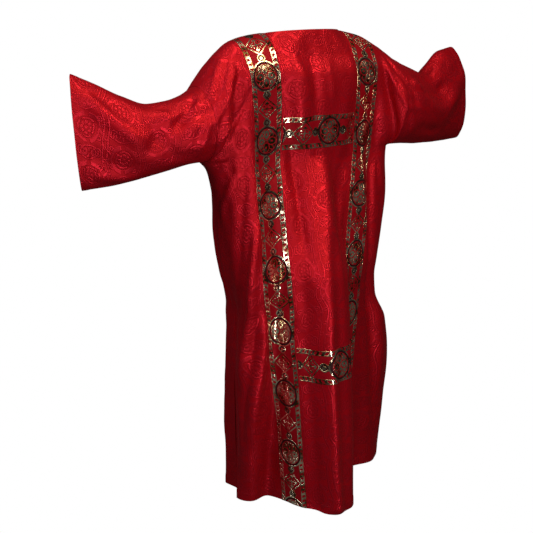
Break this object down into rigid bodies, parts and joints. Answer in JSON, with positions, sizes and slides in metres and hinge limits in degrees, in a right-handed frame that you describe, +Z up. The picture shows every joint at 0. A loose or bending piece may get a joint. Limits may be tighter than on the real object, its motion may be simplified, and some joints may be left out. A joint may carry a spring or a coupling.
{
  "type": "dalmatic",
  "caption": "Wide-sleeved damask dalmatic, worn with arms raised and nobody in it: open neck, side slits, two woven galloon bands over the shoulders joined by cross bands.",
  "frame": {"origin": "between the wearer's shoulders at the base of the neck, where the shoulders carry the cloth", "axes": "+Z is up, +X is the wearer's left, +Y is behind the wearer and -Y in front"},
  "size_m": [1.2129, 0.3997, 1.2171],
  "materials": {
    "red_damask": "woven damask, satin figures on a matt ground, soft sheen",
    "gold_galloon": "woven galloon, gold metal thread figures on a red ground"
  },
  "bodies": {
    "root": {"back_panel": "red_damask", "front_panel": "red_damask", "left_sleeve": "red_damask", "right_sleeve": "red_damask", "left_clavus": "gold_galloon", "right_clavus": "gold_galloon", "back_upper_band": "gold_galloon", "back_lower_band": "gold_galloon", "front_upper_band": "gold_galloon", "front_lower_band": "gold_galloon"}
  },
  "joints": []
}
